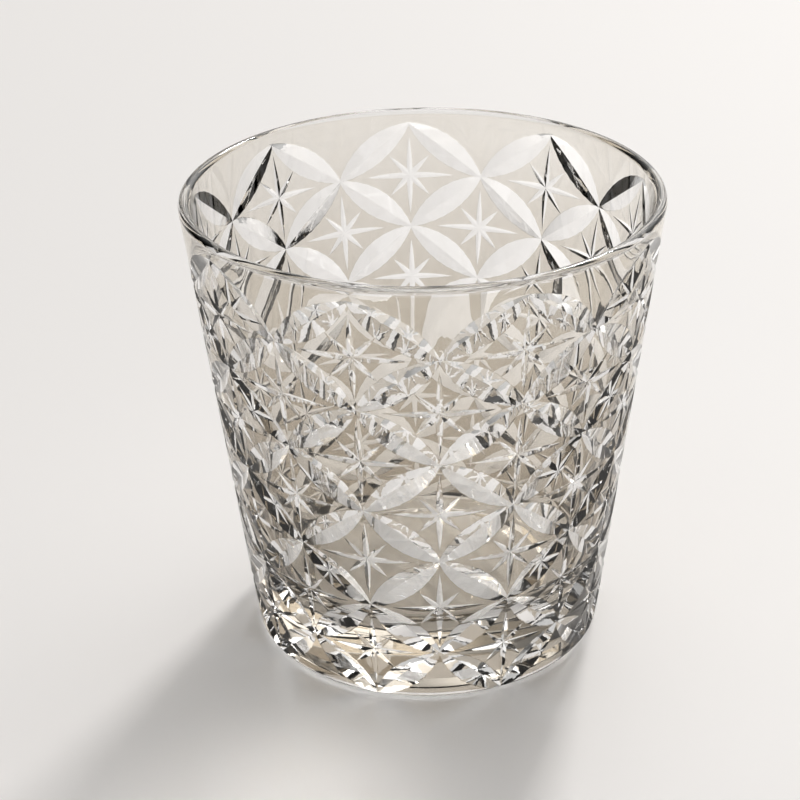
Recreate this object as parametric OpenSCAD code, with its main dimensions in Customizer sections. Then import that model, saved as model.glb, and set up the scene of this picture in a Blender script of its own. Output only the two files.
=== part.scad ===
// Cut-glass mixing glass: a clear tapered tumbler with a thin tinted casing,
// cut all over with V-wheel petals and eight-ray stars.
// Millimetres. Origin: centre of the foot plane on the glass's axis. +Z is up.

/* [Overall] */
// Height from the foot plane to the top of the rim
height = 90; // [84:1:96]
// Outer radius of the wall at the top of the rim
rim_r = 45; // [42:0.5:48]
// Outer radius of the wall at the foot plane
foot_r = 34.5; // [32:0.5:37]

/* [Wall and base] */
// Wall thickness at the lip
lip_t = 2.2; // [1.8:0.1:3]
// Wall thickness at the level of the inside floor
heel_t = 5; // [4:0.1:6]
// Glass thickness from the foot plane to the inside floor
base_t = 12; // [9:0.5:16]
// Fillet radius between the inside floor and the wall
floor_fillet = 10; // [6:0.5:11]
// Radius of the hollow under the foot
punt_r = 27; // [24:0.5:29]
// Depth of the hollow under the foot
punt_depth = 1.2; // [0.6:0.1:2]
// Rounding radius of the foot's outer edge
foot_round = 1; // [0.6:0.1:1.2]

/* [Casing] */
// Thickness of the tinted casing
casing_t = 0.5; // [0.46:0.01:0.54]
// Clear lip left above the casing
lip_clear = 0.4; // [0.3:0.1:0.6]
// Clear edge left below the casing
foot_clear = 1.2; // [1.1:0.1:1.4]
// Gap ground between two islands of casing at a lattice node
island_gap = 0.2; // [0.15:0.05:0.3]

/* [Lattice] */
// Drop from the top of the rim to the top row of lattice nodes
top_row_drop = 3.2; // [3:0.1:3.4]
// Height of the lowest row of lattice nodes, on the foot's edge
low_row_z = 0.4; // [0.3:0.1:0.6]

/* [Petal cuts] */
// Depth of a petal's valley where it passes a lattice node
petal_end_depth = 0.15; // [0.1:0.01:0.2]
// Depth of a petal's valley half way between two lattice nodes
petal_mid_depth = 1.1; // [1:0.05:1.2]
// Half width of a petal for each millimetre of depth
petal_spread = 2.7; // [2.5:0.1:2.8]

/* [Star cuts] */
// Depth of a star at its centre, less than the casing's thickness
star_depth = 0.3; // [0.2:0.01:0.4]
// Half width of a ray for each millimetre of depth
star_spread = 2.6; // [2:0.1:3]
// Length of an upright ray
ray_upright = 9; // [7:0.1:9.2]
// Length of a level ray at the wall's mean radius
ray_level = 9.5; // [7:0.1:10]
// Length of a slanted ray at the wall's mean radius
ray_slant = 6; // [4:0.1:6.5]
// Angle of a slanted ray above or below level
ray_tilt = 45; // [40:1:50]

/* [Hidden] */
columns = 9;
petal_rows = 8;
last_col = 2 * columns - 1;
half_step = 180 / columns;
taper = atan((rim_r - foot_r) / height);
mean_r = (rim_r + foot_r) / 2;
lip_round = lip_t / 2;
lip_z = height - lip_round;
core_step = casing_t / cos(taper);
top_row_z = height - top_row_drop;
row_pitch = (top_row_z - low_row_z) / petal_rows;
casing_top = lip_z - lip_clear;
seam_turn = half_step / 4;
cutter_h = 2.4;
petal_overrun = 2;
ray_overrun = 1.5;
ray_steps = 2;
step_overlap = 0.05;
block_in = 4;
block_out = 3;
eps = 0.01;
smoke_colour = [0.52, 0.47, 0.38, 0.6];
clear_colour = [0.93, 0.95, 0.95, 0.4];
$fn = 180;

// Wall and lattice positions. Row 1 is the top row of lattice nodes, and a is an angle round the axis.
function wall_r(z) = foot_r + (rim_r - foot_r) * z / height;
function row_z(row) = top_row_z - (row - 1) * row_pitch;
function wall_point(a, z) = [wall_r(z) * cos(a), wall_r(z) * sin(a), z];
function wall_normal(a) = [cos(taper) * cos(a), cos(taper) * sin(a), -sin(taper)];
function sunk(a, z, d) = wall_point(a, z) - d * wall_normal(a);
function unit(v) = v / norm(v);
// Distance from a corner to where a fillet of radius r meets its sides, for a corner of 90 degrees plus lean
function fillet_run(r, lean) = r / tan((90 + lean) / 2);

// A V-shaped cutter whose edge runs from p0 to p1 and past each end by the overruns. n is the wall's normal.
module v_cutter(p0, p1, n, spread, over0, over1) {
    u = unit(p1 - p0);
    w = unit(n - (n * u) * u);
    v = cross(w, u);
    s = p0 - over0 * u;
    multmatrix([[v[0], w[0], u[0], s[0]], [v[1], w[1], u[1], s[1]], [v[2], w[2], u[2], s[2]], [0, 0, 0, 1]])
        linear_extrude(norm(p1 - p0) + over0 + over1)
            polygon([[0, 0], [-cutter_h * spread, cutter_h], [cutter_h * spread, cutter_h]]);
}

// One petal from the lattice node at angle a on a row down to the next row, in two straight halves that
// are deepest where they meet. turn is +1 or -1.
module petal_cut(a, row, turn) {
    middle = sunk(a + turn * half_step / 2, row_z(row + 0.5), petal_mid_depth);
    for (end = [0, 1])
        v_cutter(sunk(a + turn * half_step * end, row_z(row + end), petal_end_depth), middle,
                 wall_normal(a + turn * half_step * (0.25 + end / 2)), petal_spread,
                 petal_overrun, step_overlap);
}

// Every petal of one row step.
module petal_ring(row) {
    for (c = [0 : last_col])
        if ((c + row) % 2 == 0) {
            petal_cut(c * half_step, row, 1);
            petal_cut(c * half_step, row, -1);
        }
}

// The point a share t of the way along a ray's valley, which rises from the star's centre to the surface.
function ray_point(a, z, tilt, run, t) =
    sunk(a + t * run * cos(tilt) / wall_r(z) * 180 / PI, z + t * run * sin(tilt), star_depth * (1 - t * t));

// One ray of a star, in short straight steps that follow the wall round.
module ray_cut(a, z, tilt, run) {
    for (i = [0 : ray_steps - 1])
        v_cutter(ray_point(a, z, tilt, run, i / ray_steps), ray_point(a, z, tilt, run, (i + 1) / ray_steps),
                 wall_normal(a), star_spread,
                 i == 0 ? 0 : step_overlap, i == ray_steps - 1 ? ray_overrun : step_overlap);
}

// The eight rays of the star at angle a on a row.
module star_cut(a, row) {
    z = row_z(row);
    across = wall_r(z) / mean_r;
    for (side = [0, 180]) {
        ray_cut(a, z, side, ray_level * across);
        ray_cut(a, z, side + 90, ray_upright);
        ray_cut(a, z, side + ray_tilt, ray_slant * across);
        ray_cut(a, z, side - ray_tilt, ray_slant * across);
    }
}

// Section of the clear body before it is cut.
module body_section() {
    floor_r = wall_r(base_t) - heel_t;
    lip_in = wall_r(lip_z) - lip_t;
    lean = atan((lip_in - floor_r) / (lip_z - base_t));
    floor_run = fillet_run(floor_fillet, lean);
    foot_run = fillet_run(foot_round, taper);
    difference() {
        union() {
            polygon([
                [0, 0], [foot_r - foot_run, 0],
                [foot_r + foot_run * sin(taper), foot_run * cos(taper)],
                [wall_r(foot_clear), foot_clear], [wall_r(foot_clear) - core_step, foot_clear],
                [wall_r(casing_top) - core_step, casing_top], [wall_r(casing_top), casing_top],
                [wall_r(lip_z), lip_z], [0, lip_z]
            ]);
            translate([foot_r - foot_run, foot_round])
                circle(foot_round);
            translate([wall_r(lip_z) - lip_round, lip_z])
                circle(lip_round);
        }
        polygon([
            [-eps, base_t], [floor_r - floor_run, base_t],
            [floor_r + floor_run * sin(lean), base_t + floor_run * cos(lean)],
            [lip_in, lip_z], [lip_in, height + eps], [-eps, height + eps]
        ]);
        translate([floor_r - floor_run, base_t + floor_fillet])
            circle(floor_fillet);
        polygon([[-eps, -eps], [punt_r, -eps], [punt_r - 2 * punt_depth, punt_depth], [-eps, punt_depth]]);
    }
}

// A ring of casing on the body between two heights.
module casing_ring(z0, z1) {
    rotate([0, 0, seam_turn])
        rotate_extrude()
            polygon([
                [wall_r(z0) - core_step, z0], [wall_r(z0), z0],
                [wall_r(z1), z1], [wall_r(z1) - core_step, z1]
            ]);
}

// A radial block through the wall beside a row, from points given as run round the wall and height.
module wall_block(a, row, pts) {
    r0 = wall_r(row_z(row)) - block_in;
    translate([r0 * cos(a), r0 * sin(a), 0])
        rotate([90, 0, a + 90])
            linear_extrude(block_in + block_out)
                polygon(pts);
}

// Half width of the lattice cell at a row, as seen straight on.
function cell_half(row) = wall_r(row_z(row)) * sin(half_step);

// The casing left between the four petals round one star.
module star_panel(a, row) {
    difference() {
        intersection() {
            casing_ring(row_z(row + 1), row_z(row - 1));
            wall_block(a, row, [[island_gap - cell_half(row), row_z(row)], [0, row_z(row + 1) + island_gap],
                                [cell_half(row) - island_gap, row_z(row)], [0, row_z(row - 1) - island_gap]]);
        }
        petal_cut(a, row - 1, 1);
        petal_cut(a, row - 1, -1);
        petal_cut(a - half_step, row, 1);
        petal_cut(a + half_step, row, -1);
        star_cut(a, row);
    }
}

module panel_row(row) {
    color(smoke_colour)
        for (c = [0 : last_col])
            if ((c + row) % 2 == 1)
                star_panel(c * half_step, row);
}

module crystal_body() {
    color(clear_colour)
        difference() {
            rotate([0, 0, seam_turn])
                rotate_extrude()
                    body_section();
            for (row = [1 : petal_rows])
                petal_ring(row);
        }
}

module collar_casing() {
    color(smoke_colour)
        difference() {
            difference() {
                casing_ring(row_z(2) + island_gap, casing_top);
                petal_ring(1);
            }
            for (c = [1 : 2 : last_col])
                wall_block(c * half_step, 2, [[-cell_half(2), row_z(2) - eps], [cell_half(2), row_z(2) - eps],
                                              [0, row_z(1)]]);
        }
}

module foot_casing() {
    color(smoke_colour)
        difference() {
            difference() {
                casing_ring(foot_clear, row_z(petal_rows) - island_gap);
                petal_ring(petal_rows);
            }
            for (c = [1 : 2 : last_col])
                wall_block(c * half_step, petal_rows,
                           [[-cell_half(petal_rows), row_z(petal_rows) + eps],
                            [0, row_z(petal_rows + 1) - island_gap],
                            [cell_half(petal_rows), row_z(petal_rows) + eps]]);
        }
}

module panel_row_1() { panel_row(2); }
module panel_row_2() { panel_row(3); }
module panel_row_3() { panel_row(4); }
module panel_row_4() { panel_row(5); }
module panel_row_5() { panel_row(6); }
module panel_row_6() { panel_row(7); }
module panel_row_7() { panel_row(8); }

crystal_body();
collar_casing();
panel_row_1();
panel_row_2();
panel_row_3();
panel_row_4();
panel_row_5();
panel_row_6();
panel_row_7();
foot_casing();
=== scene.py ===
import math
import bpy
import numpy as np
from mathutils import Matrix, Vector


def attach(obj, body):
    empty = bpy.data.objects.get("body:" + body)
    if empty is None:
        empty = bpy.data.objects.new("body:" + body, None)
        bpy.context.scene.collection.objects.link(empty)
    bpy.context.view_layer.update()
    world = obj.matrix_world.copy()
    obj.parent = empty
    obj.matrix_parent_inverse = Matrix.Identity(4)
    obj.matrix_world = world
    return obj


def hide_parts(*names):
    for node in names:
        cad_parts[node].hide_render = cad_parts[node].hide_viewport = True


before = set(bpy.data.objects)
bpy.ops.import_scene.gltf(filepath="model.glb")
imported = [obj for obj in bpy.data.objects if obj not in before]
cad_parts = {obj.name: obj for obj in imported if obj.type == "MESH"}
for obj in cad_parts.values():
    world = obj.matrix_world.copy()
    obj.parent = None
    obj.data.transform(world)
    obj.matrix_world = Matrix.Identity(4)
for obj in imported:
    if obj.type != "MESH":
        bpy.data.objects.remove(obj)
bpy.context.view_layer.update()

scene = bpy.context.scene
MM = 0.001

# ---- design sizes in millimetres, the same as the CAD part's ----
HEIGHT, RIM_R, FOOT_R = 90.0, 45.0, 34.5
LIP_T, HEEL_T, BASE_T, FLOOR_FILLET = 2.2, 5.0, 12.0, 10.0
PUNT_R, PUNT_DEPTH, FOOT_ROUND = 27.0, 1.2, 1.0
LIP_CLEAR, FOOT_CLEAR = 0.4, 1.2
TOP_ROW_DROP, LOW_ROW_Z = 3.2, 0.4
PETAL_END, PETAL_MID, PETAL_SPREAD = 0.15, 1.1, 2.7
STAR_DEPTH, STAR_SPREAD = 0.3, 2.6
RAY_UPRIGHT, RAY_LEVEL, RAY_SLANT, RAY_TILT = 9.0, 9.5, 6.0, math.pi / 4
COLUMNS, PETAL_ROWS, STAR_ROWS = 9, 8, 7
HALF_STEP = math.pi / COLUMNS
TOP_ROW_Z = HEIGHT - TOP_ROW_DROP
ROW_PITCH = (TOP_ROW_Z - LOW_ROW_Z) / PETAL_ROWS
TAPER = math.atan((RIM_R - FOOT_R) / HEIGHT)
MEAN_R = (RIM_R + FOOT_R) / 2
LIP_ROUND = LIP_T / 2
LIP_Z = HEIGHT - LIP_ROUND
CASING_TOP = LIP_Z - LIP_CLEAR

# ---- how the visual meshes are made, in millimetres ----
SEGMENTS = 360  # facets round the glass
FOOT_STEPS, LIP_STEPS, FILLET_STEPS = 10, 20, 16  # facets along each rounding of the section
PETAL_STEPS = RAY_STEPS = 8  # facets along a groove
CUTTER_H = 2.4  # reach of a cutter above its groove
PETAL_OVER, RAY_OVER, RAY_BACK = 1.0, 1.5, 0.001  # how far a cutter runs past a groove's end
TINT_OUT, TINT_IN = 0.03, 0.08  # depths under the skin between which the tint lies
TINT_SINK = 0.02  # how much further each groove goes in the tint
ROUND_TOL, LEVEL_TOL = 0.02, 0.01  # how near a point lies to a rounding that it belongs to
SAME_SIDE = 0.9  # least agreement of a facet's normal with that rounding
LEVEL_SLACK = 0.2  # how near an island ends to the height of a lattice row or of the casing's edge
BLEND = math.cos(math.radians(9))  # wheel facets closer than this share a normal
ON_AXIS = 1e-6  # metres from the axis, where a point has no direction outwards
TINY = 1e-9  # keeps a length off zero


def wall_r(z):
    return FOOT_R + (RIM_R - FOOT_R) * z / HEIGHT


def row_z(row):
    return TOP_ROW_Z - (row - 1) * ROW_PITCH


def wall_point(a, z):
    return Vector((wall_r(z) * math.cos(a), wall_r(z) * math.sin(a), z))


def wall_normal(a):
    return Vector((math.cos(TAPER) * math.cos(a), math.cos(TAPER) * math.sin(a), -math.sin(TAPER)))


def sunk(a, z, d):
    return wall_point(a, z) - d * wall_normal(a)


def fillet_run(r, lean):
    return r / math.tan((math.pi / 2 + lean) / 2)


# The inside's radii and lean, and the radii of the circles that the three roundings follow
LIP_IN = wall_r(LIP_Z) - LIP_T
FLOOR_R = wall_r(BASE_T) - HEEL_T
LEAN = math.atan((LIP_IN - FLOOR_R) / (LIP_Z - BASE_T))
LIP_MID = wall_r(LIP_Z) - LIP_ROUND
FILLET_MID = FLOOR_R - fillet_run(FLOOR_FILLET, LEAN)
FOOT_MID = FOOT_R - fillet_run(FOOT_ROUND, TAPER)


def arc(cx, cz, r, a0, a1, steps):
    turns = [a0 + (a1 - a0) * i / steps for i in range(steps + 1)]
    return [(cx + r * math.cos(a), cz + r * math.sin(a)) for a in turns]


def body_profile():
    """The clear body's section, from under the foot, up the outside, over the lip and back to the axis."""
    return ([(0, PUNT_DEPTH), (PUNT_R - 2 * PUNT_DEPTH, PUNT_DEPTH), (PUNT_R, 0)]
            + arc(FOOT_MID, FOOT_ROUND, FOOT_ROUND, -math.pi / 2, -TAPER, FOOT_STEPS)
            + arc(LIP_MID, LIP_Z, LIP_ROUND, 0, math.pi, LIP_STEPS)
            + arc(FILLET_MID, BASE_T + FLOOR_FILLET, FLOOR_FILLET, -LEAN, -math.pi / 2, FILLET_STEPS)
            + [(0, BASE_T)])


def revolve(name, profile, closed=False):
    """A solid turned from profile. An open profile starts and ends on the axis; a closed one makes a ring."""
    verts, faces, rings = [], [], []
    for r, z in profile:
        if r <= TINY:
            rings.append([len(verts)] * SEGMENTS)
            verts.append((0, 0, z * MM))
        else:
            rings.append(list(range(len(verts), len(verts) + SEGMENTS)))
            for i in range(SEGMENTS):
                a = 2 * math.pi * (i + 0.5) / SEGMENTS
                verts.append((r * math.cos(a) * MM, r * math.sin(a) * MM, z * MM))
    next_rings = rings[1:] + rings[:1] if closed else rings[1:]
    for low, high in zip(rings, next_rings):
        for i in range(SEGMENTS):
            j = (i + 1) % SEGMENTS
            quad = [low[i], low[j], high[j], high[i]]
            faces.append([v for k, v in enumerate(quad) if v != quad[k - 1]])
    mesh = bpy.data.meshes.new(name)
    mesh.from_pydata(verts, [], faces)
    return bpy.data.objects.new(name, mesh)


def groove(path, normals, spread, over0, over1):
    """A V-shaped cutter whose edge follows path and runs straight on past its ends by over0 and over1."""
    path = ([path[0] + over0 * (path[0] - path[1]).normalized()] + path
            + [path[-1] + over1 * (path[-1] - path[-2]).normalized()])
    normals = [normals[0]] + normals + [normals[-1]]
    u = (path[-1] - path[0]).normalized()
    pts, faces = [], [(0, 1, 2)]
    for p, normal in zip(path, normals):
        w = (normal - normal.dot(u) * u).normalized()
        v = w.cross(u)
        pts += [p, p + CUTTER_H * (w - spread * v), p + CUTTER_H * (w + spread * v)]
    for i in range(0, len(pts) - 3, 3):
        faces += [(i, i + 3, i + 4, i + 1), (i, i + 2, i + 5, i + 3), (i + 1, i + 4, i + 5, i + 2)]
    k = len(pts) - 3
    return pts, faces + [(k, k + 2, k + 1)]


def petal_cutter(a, row, turn, sink):
    """One petal from the lattice node at angle a on a row down to the next row, deepest half way."""
    path, normals = [], []
    for i in range(PETAL_STEPS + 1):
        t = i / PETAL_STEPS
        at = a + turn * HALF_STEP * t
        depth = PETAL_END + (PETAL_MID - PETAL_END) * 4 * t * (1 - t)
        path.append(sunk(at, row_z(row + t), depth + sink))
        normals.append(wall_normal(at))
    return groove(path, normals, PETAL_SPREAD, PETAL_OVER, PETAL_OVER)


def ray_cutter(a, z, tilt, run, sink):
    """One ray of the star at angle a, whose valley rises from the star's centre to the wall's surface."""
    path, normals = [], []
    for i in range(RAY_STEPS + 1):
        t = i / RAY_STEPS
        at = a + t * run * math.cos(tilt) / wall_r(z)
        path.append(sunk(at, z + t * run * math.sin(tilt), STAR_DEPTH * (1 - t * t) + sink))
        normals.append(wall_normal(at))
    return groove(path, normals, STAR_SPREAD, RAY_BACK, RAY_OVER)


def joined(name, cutters):
    """One object of many separate cutters."""
    verts, faces = [], []
    for pts, sides in cutters:
        base = len(verts)
        verts += [p * MM for p in pts]
        faces += [[i + base for i in side] for side in sides]
    mesh = bpy.data.meshes.new(name)
    mesh.from_pydata(verts, [], faces)
    return bpy.data.objects.new(name, mesh)


def cutter_groups(sink):
    """Groups of cutters, where no two in one group touch. sink takes every groove a little further in."""
    groups = []
    for turn in (1, -1):
        for first_row in (2, 1):
            groups.append([petal_cutter(c * HALF_STEP, row, turn, sink)
                           for row in range(first_row, PETAL_ROWS + 1, 2)
                           for c in range(2 * COLUMNS) if (c + row) % 2 == 0])
    for side in (0, math.pi):
        for turn, run, level in ((0, RAY_LEVEL, True), (math.pi / 2, RAY_UPRIGHT, False),
                                 (RAY_TILT, RAY_SLANT, True), (-RAY_TILT, RAY_SLANT, True)):
            out = []
            for row in range(2, STAR_ROWS + 2):
                z = row_z(row)
                length = run * wall_r(z) / MEAN_R if level else run
                out += [ray_cutter(c * HALF_STEP, z, side + turn, length, sink)
                        for c in range(2 * COLUMNS) if (c + row) % 2 == 1]
            groups.append(out)
    return groups


def cut(obj, sink):
    """A new mesh of obj with every groove cut in it, where the grooves' faces wear material index 1."""
    scene.collection.objects.link(obj)
    obj.data.materials.append(bpy.data.materials.new("uncut"))
    wheel = bpy.data.materials.new("wheel")
    for k, group in enumerate(cutter_groups(sink)):
        tool = joined("tool_%d" % k, group)
        tool.data.materials.append(wheel)
        scene.collection.objects.link(tool)
        m = obj.modifiers.new("cut_%d" % k, "BOOLEAN")
        m.operation, m.solver, m.object = "DIFFERENCE", "MANIFOLD", tool
        m.material_mode = "TRANSFER"
    bpy.context.view_layer.update()
    mesh = bpy.data.meshes.new_from_object(obj.evaluated_get(bpy.context.evaluated_depsgraph_get()))
    for tool in [m.object for m in obj.modifiers]:
        bpy.data.objects.remove(tool)
    bpy.data.objects.remove(obj)
    return mesh


def blended(facing, corner):
    """Normals for wheel facets, shared where two meet at a small angle, so a curved cut looks smooth."""
    order = np.argsort(corner, kind="stable")
    starts = np.flatnonzero(np.diff(corner[order], prepend=-1))
    result = facing.copy()
    for group in np.split(order, starts[1:]):
        near = facing[group] @ facing[group].T > BLEND
        result[group] = near @ facing[group]
    return result


def read(items, field, size, kind=float):
    """A field of every item in a mesh's collection, as an array with size columns."""
    values = np.empty(len(items) * size, kind)
    items.foreach_get(field, values)
    return values.reshape(-1, size) if size > 1 else values


def shade(mesh, rounds=()):
    """Custom normals: turned faces follow the turning and the rounds, wheel facets bend only lengthways."""
    mesh.polygons.foreach_set("use_smooth", np.ones(len(mesh.polygons), bool))
    normal = read(mesh.polygons, "normal", 3)
    centre = read(mesh.polygons, "center", 3)
    wheel = read(mesh.polygons, "material_index", 1, int)
    owner = np.repeat(np.arange(len(mesh.polygons)), read(mesh.polygons, "loop_total", 1, int))
    corner = read(mesh.loops, "vertex_index", 1, int)
    at = read(mesh.vertices, "co", 3)[corner]
    face_dir = centre[:, :2] / np.maximum(np.linalg.norm(centre[:, :2], axis=1), TINY)[:, None]
    out_part = (normal[:, :2] * face_dir).sum(axis=1)
    length = np.sqrt(np.maximum(1 - normal[:, 2] ** 2, 0)) * np.sign(out_part)
    reach = np.linalg.norm(at[:, :2], axis=1)
    at_dir = at[:, :2] / np.maximum(reach, TINY)[:, None]
    level = at[:, 2] / MM
    nr, nz = length[owner], normal[owner, 2]
    for mid_r, mid_z, radius, low, high, side in rounds:
        r, z = reach / MM - mid_r, level - mid_z
        on_round = (np.abs(np.hypot(r, z) - radius) < ROUND_TOL) & (level > low) & (level < high)
        on_round &= (nr * r + nz * z) * side > SAME_SIDE * radius
        nr = np.where(on_round, side * r / radius, nr)
        nz = np.where(on_round, side * z / radius, nz)
    turned = np.column_stack([at_dir * nr[:, None], nz])
    on_axis = reach < ON_AXIS
    turned[on_axis] = normal[owner[on_axis]]
    flat = wheel[owner] > 0
    turned[flat] = blended(normal[owner[flat]], corner[flat])
    turned /= np.maximum(np.linalg.norm(turned, axis=1), TINY)[:, None]
    mesh.normals_split_custom_set(turned.tolist())


def place(name, mesh, node):
    """A piece that stands for a CAD node and rides on the part's one body."""
    piece = bpy.data.objects.new(name, mesh)
    scene.collection.objects.link(piece)
    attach(piece, "root")
    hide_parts(node)
    return piece


# ---- the clear body ----
ROUNDS = [
    (LIP_MID, LIP_Z, LIP_ROUND, LIP_Z - LEVEL_TOL, HEIGHT + LEVEL_TOL, 1),
    (FILLET_MID, BASE_T + FLOOR_FILLET, FLOOR_FILLET, BASE_T - LEVEL_TOL, BASE_T + FLOOR_FILLET, -1),
    (FOOT_MID, FOOT_ROUND, FOOT_ROUND, -LEVEL_TOL, FOOT_ROUND, 1),
]
body_mesh = cut(revolve("body", body_profile()), 0.0)
shade(body_mesh, ROUNDS)
body = place("clear_body", body_mesh, "crystal_body")


# ---- the casing: thin tinted islands just under the clear body's skin, gathered by row ----
def islands(mesh):
    """For each vertex, a number that only the vertices of its own island share."""
    parent = list(range(len(mesh.vertices)))

    def root(i):
        while parent[i] != i:
            parent[i] = parent[parent[i]]
            i = parent[i]
        return i

    for edge in mesh.edges:
        a, b = root(edge.vertices[0]), root(edge.vertices[1])
        if a != b:
            parent[a] = b
    return [root(i) for i in range(len(parent))]


def casing_row(low, high):
    """The place in NAMES of the row that an island between two heights in millimetres belongs to."""
    if high > CASING_TOP - LEVEL_SLACK:
        return 0
    if low < FOOT_CLEAR + LEVEL_SLACK and high < row_z(PETAL_ROWS) + LEVEL_SLACK:
        return STAR_ROWS + 1
    return min(range(1, STAR_ROWS + 1), key=lambda row: abs(row_z(row + 1) - (low + high) / 2))


def casing_rows(mesh):
    """For each vertex, the place in NAMES of its island's row."""
    label = islands(mesh)
    heights = {}
    for vertex, island in zip(mesh.vertices, label):
        heights.setdefault(island, []).append(vertex.co.z / MM)
    rows = {island: casing_row(min(zs), max(zs)) for island, zs in heights.items()}
    return [rows[island] for island in label]


def row_mesh(name, mesh, rows, row):
    """The part of the casing's mesh that belongs to one row."""
    keep = [i for i, r in enumerate(rows) if r == row]
    new_index = {i: k for k, i in enumerate(keep)}
    faces = [p for p in mesh.polygons if rows[p.vertices[0]] == row]
    out = bpy.data.meshes.new(name)
    out.from_pydata([mesh.vertices[i].co for i in keep], [],
                    [[new_index[v] for v in p.vertices] for p in faces])
    out.materials.append(None)
    out.materials.append(None)
    out.polygons.foreach_set("material_index", [p.material_index for p in faces])
    shade(out)
    return out


NAMES = ["collar_casing"] + ["panel_row_%d" % i for i in range(1, STAR_ROWS + 1)] + ["foot_casing"]
out_step, in_step = TINT_OUT, TINT_IN / math.cos(TAPER)
casing_section = [(wall_r(FOOT_CLEAR) - in_step, FOOT_CLEAR), (wall_r(FOOT_CLEAR) - out_step, FOOT_CLEAR),
                  (wall_r(CASING_TOP) - out_step, CASING_TOP), (wall_r(CASING_TOP) - in_step, CASING_TOP)]
casing_mesh = cut(revolve("casing", casing_section, closed=True), TINT_SINK)
vertex_rows = casing_rows(casing_mesh)
casings = []
for i, name in enumerate(NAMES):
    glass = name + "_glass"
    casings.append(place(glass, row_mesh(glass, casing_mesh, vertex_rows, i), name))
bpy.data.meshes.remove(casing_mesh)


# ---- materials ----
CLOUD_SHARE = 0.25  # how far the cloudiness moves the tint, next to the painted shade that follows the height


def new_material(name):
    material = bpy.data.materials.new(name)
    material.use_nodes = True
    material.node_tree.nodes.clear()
    return material, material.node_tree


def add(tree, kind, **values):
    """A new node with values for its sockets, whose names are given with _ for a space."""
    node = tree.nodes.new("ShaderNode" + kind)
    for socket, value in values.items():
        node.inputs[socket.replace("_", " ")].default_value = value
    return node


def link(tree, source, output, target, socket):
    tree.links.new(source.outputs[output], target.inputs[socket])


def clear_glass(name, scale, rough_most, bump_strength, bump_depth):
    """Polished lead crystal, with a noise of a given scale behind its roughness and its bump."""
    material, tree = new_material(name)
    crystal = add(tree, "BsdfPrincipled", Base_Color=(0.99, 0.988, 0.985, 1),
                  Transmission_Weight=1.0, IOR=1.56)
    where = add(tree, "TexCoord")
    wave = add(tree, "TexNoise", Scale=scale, Detail=2)
    link(tree, where, "Object", wave, "Vector")
    rough = add(tree, "MapRange", To_Min=0.0, To_Max=rough_most)
    link(tree, wave, "Fac", rough, "Value")
    link(tree, rough, "Result", crystal, "Roughness")
    bump = add(tree, "Bump", Strength=bump_strength, Distance=bump_depth)
    link(tree, wave, "Fac", bump, "Height")
    link(tree, bump, "Normal", crystal, "Normal")
    # Lamps shine through to the floor, as they do through real glass, and leave a pale shadow.
    rays = add(tree, "LightPath")
    clear = add(tree, "BsdfTransparent", Color=(0.58, 0.59, 0.6, 1))
    mix = add(tree, "MixShader")
    link(tree, rays, "Is Shadow Ray", mix, "Fac")
    tree.links.new(crystal.outputs["BSDF"], mix.inputs[1])
    tree.links.new(clear.outputs["BSDF"], mix.inputs[2])
    link(tree, mix, "Shader", add(tree, "OutputMaterial"), "Surface")
    return material


def tint_and_shade_glass():
    """The casing's smoky tint, slightly cloudy, with painted shade that darkens it towards the foot, so it is
    lighter towards the lip.
    """
    material, tree = new_material("casing_tint_painted_shade")
    tint = add(tree, "BsdfTransparent")
    where = add(tree, "TexCoord")
    cloud = add(tree, "TexNoise", Scale=45, Detail=3)
    link(tree, where, "Object", cloud, "Vector")
    axes = add(tree, "SeparateXYZ")
    link(tree, where, "Object", axes, "Vector")
    # Painted shade: the tint darkens towards the foot, standing in for the glass's own shadow and for light
    # that crosses the casing again and again.
    level = add(tree, "MapRange", From_Min=0.035, From_Max=0.083, To_Min=0.05, To_Max=0.8)
    link(tree, axes, "Z", level, "Value")
    cloudy = add(tree, "Math")
    cloudy.operation = "MULTIPLY_ADD"
    cloudy.inputs[1].default_value = CLOUD_SHARE
    tree.links.new(cloud.outputs["Fac"], cloudy.inputs[0])
    tree.links.new(level.outputs["Result"], cloudy.inputs[2])
    ramp = add(tree, "ValToRGB")
    # The low stop is the smoky tint deepened by painted shade; the high stop is the tint near the lip.
    low_tint_and_shade, light = ramp.color_ramp.elements
    low_tint_and_shade.position, low_tint_and_shade.color = 0.1, (0.76, 0.725, 0.67, 1)
    light.position, light.color = 0.95, (0.965, 0.953, 0.93, 1)
    link(tree, cloudy, "Value", ramp, "Fac")
    link(tree, ramp, "Color", tint, "Color")
    link(tree, tint, "BSDF", add(tree, "OutputMaterial"), "Surface")
    return material


# Turned faces keep a slow waviness, and wheel facets faint polishing lines.
body.data.materials[0] = clear_glass("polished_crystal", 60, 0.012, 0.04, 0.001)
body.data.materials[1] = clear_glass("wheel_facet", 900, 0.03, 0.05, 0.0002)
# The casing's material holds its real smoky tint plus painted shade towards the foot.
casing_tint_and_shade = tint_and_shade_glass()
for casing in casings:
    casing.data.materials[0] = casing_tint_and_shade
    casing.data.materials[1] = casing_tint_and_shade

# ---- floor, in metres, just under the foot ----
FLOOR_HALF, FLOOR_GAP = 3, 0.00005
floor_mesh = bpy.data.meshes.new("floor")
floor_mesh.from_pydata([(-FLOOR_HALF, -FLOOR_HALF, 0), (FLOOR_HALF, -FLOOR_HALF, 0),
                        (FLOOR_HALF, FLOOR_HALF, 0), (-FLOOR_HALF, FLOOR_HALF, 0)], [], [(0, 1, 2, 3)])
floor = bpy.data.objects.new("floor", floor_mesh)
scene.collection.objects.link(floor)
floor.location.z = -FLOOR_GAP
floor_material, floor_tree = new_material("floor")
paint = add(floor_tree, "BsdfPrincipled", Base_Color=(0.86, 0.84, 0.825, 1), Roughness=0.6)
link(floor_tree, paint, "BSDF", add(floor_tree, "OutputMaterial"), "Surface")
floor_mesh.materials.append(floor_material)

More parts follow.
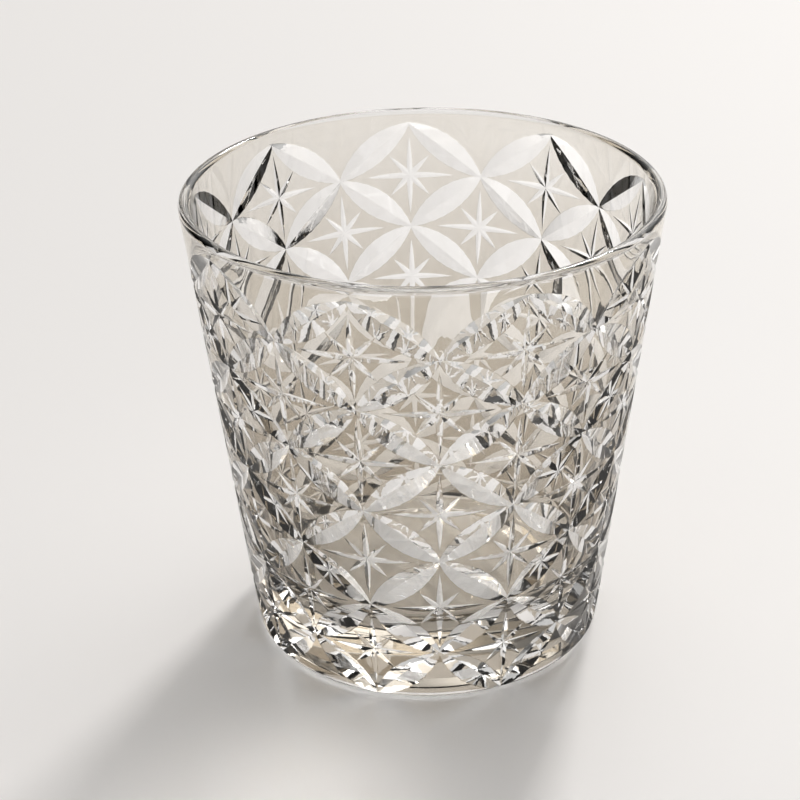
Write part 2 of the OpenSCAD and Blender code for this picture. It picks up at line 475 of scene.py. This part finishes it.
# ---- camera: its bearing, height and distance from the glass, its aim, its tilt and its lens ----
VIEW_AZ, ELEV, DIST, LOOK_Z = math.radians(-83.392), math.radians(27.925), 377.73, 45.83
PAN, ROLL, LENS, SENSOR, CLIP = -0.01285, math.radians(-0.782), 87.28, 36, 0.01
away = Vector((math.cos(VIEW_AZ), math.sin(VIEW_AZ), 0))
eye = (away * DIST * math.cos(ELEV) + Vector((0, 0, LOOK_Z + DIST * math.sin(ELEV)))) * MM
look = -away * math.cos(ELEV) - Vector((0, 0, math.sin(ELEV)))
right = Vector((0, 0, 1)).cross(away).normalized()
look = (look + right * PAN).normalized()
right = (right - look * right.dot(look)).normalized()
up = right.cross(look)
right, up = right * math.cos(ROLL) + up * math.sin(ROLL), up * math.cos(ROLL) - right * math.sin(ROLL)
lens = bpy.data.cameras.new("camera")
lens.lens = LENS
lens.sensor_width = SENSOR
lens.clip_start = CLIP
cam = bpy.data.objects.new("camera", lens)
cam.matrix_world = Matrix(((right.x, up.x, -look.x, eye.x), (right.y, up.y, -look.y, eye.y),
                           (right.z, up.z, -look.z, eye.z), (0, 0, 0, 1)))
scene.collection.objects.link(cam)
scene.camera = cam


# ---- light: a soft key from behind, a wide fill from above, and a studio that is brightest behind ----
def area(name, place_at, aim, size, power, colour):
    """A square area light, in metres and watts."""
    light = bpy.data.lights.new(name, "AREA")
    light.size = size
    light.energy, light.color = power, colour
    lamp = bpy.data.objects.new(name, light)
    lamp.location = place_at
    lamp.rotation_euler = (Vector(aim) - Vector(place_at)).to_track_quat("-Z", "Y").to_euler()
    scene.collection.objects.link(lamp)


area("key", (0.69, 2.88, 2.67), (0, 0, 0.04), 0.5, 78, (1, 0.98, 0.955))
area("top", (-0.25, -0.3, 1.2), (0, -0.1, 0.0), 0.9, 2.8, (0.97, 0.98, 1))

BRIGHT_SIDE = (0.24, 0.78, 0.58)
SKY_STOPS = ((0.3, (0.005, 0.005, 0.005, 1)), (0.96, (1.0, 0.99, 0.975, 1)),
             (0.58, (0.11, 0.1089, 0.10725, 1)), (0.85, (0.34, 0.3366, 0.3315, 1)))
SKY_STRENGTH = 2.2
world = bpy.data.worlds.new("studio")
scene.world = world
world.use_nodes = True
sky = world.node_tree
sky.nodes.clear()
where = add(sky, "TexCoord")
facing = add(sky, "VectorMath")
facing.operation = "DOT_PRODUCT"
facing.inputs[1].default_value = BRIGHT_SIDE
sky.links.new(where.outputs["Generated"], facing.inputs[0])
ramp = add(sky, "ValToRGB")
stops = ramp.color_ramp.elements
for stop, (at, colour) in zip(list(stops), SKY_STOPS):
    stop.position, stop.color = at, colour
for at, colour in SKY_STOPS[len(stops):]:
    stops.new(at).color = colour
link(sky, facing, "Value", ramp, "Fac")
glow = add(sky, "Background", Strength=SKY_STRENGTH)
link(sky, ramp, "Color", glow, "Color")
link(sky, glow, "Background", add(sky, "OutputWorld"), "Surface")
scene.view_settings.view_transform = "Standard"
